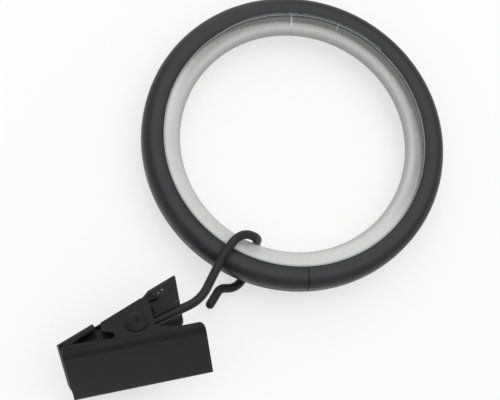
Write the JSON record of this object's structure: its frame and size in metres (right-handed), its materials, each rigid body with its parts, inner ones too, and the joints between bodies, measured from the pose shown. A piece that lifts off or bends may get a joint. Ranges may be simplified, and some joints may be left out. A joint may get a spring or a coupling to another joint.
{
  "type": "curtain ring with clip",
  "caption": "Black steel curtain ring with a smooth pale liner, a wire hook looped round it and a sprung sheet-steel clip that grips the curtain's top edge.",
  "frame": {"origin": "centre of the ring, at mid height of its section, where the pole's axis passes", "axes": "+Z along the ring's axis, up as the ring lies; the hook and clip lie on the -Y side"},
  "size_m": [0.0508, 0.0802, 0.016],
  "materials": {
    "black_ring": "satin",
    "liner": "satin translucent",
    "black_wire": "satin",
    "black_clip": "satin",
    "spring_steel": "oiled"
  },
  "bodies": {
    "ring": {"ring_channel": "black_ring", "glide_liner": "liner"},
    "hook": {"wire_hook": "black_wire"},
    "clip": {"rear_jaw": "black_clip", "pivot_rivet": "black_clip", "torsion_spring": "spring_steel"},
    "jaw": {"front_jaw": "black_clip"}
  },
  "joints": [
    {"name": "hook_travel", "type": "hinge", "parent": "ring", "child": "hook", "pos_m": [0, 0, 0], "axis": [0, 0, 1], "continuous": true},
    {"name": "clip_swing", "type": "hinge", "parent": "hook", "child": "clip", "pos_m": [-0.00598, -0.04322, 0.0034], "axis": [-0.383, 0.2861, 0.8783], "range_deg": [-10, 7]},
    {"name": "jaw_open", "type": "hinge", "parent": "clip", "child": "jaw", "pos_m": [-0.00598, -0.04322, 0.0034], "axis": [-0.383, 0.2861, 0.8783], "range_deg": [0, 26], "stiffness_Nm_per_rad": 0.02, "springref_deg": -20.05, "deforming": ["torsion_spring"]}
  ]
}
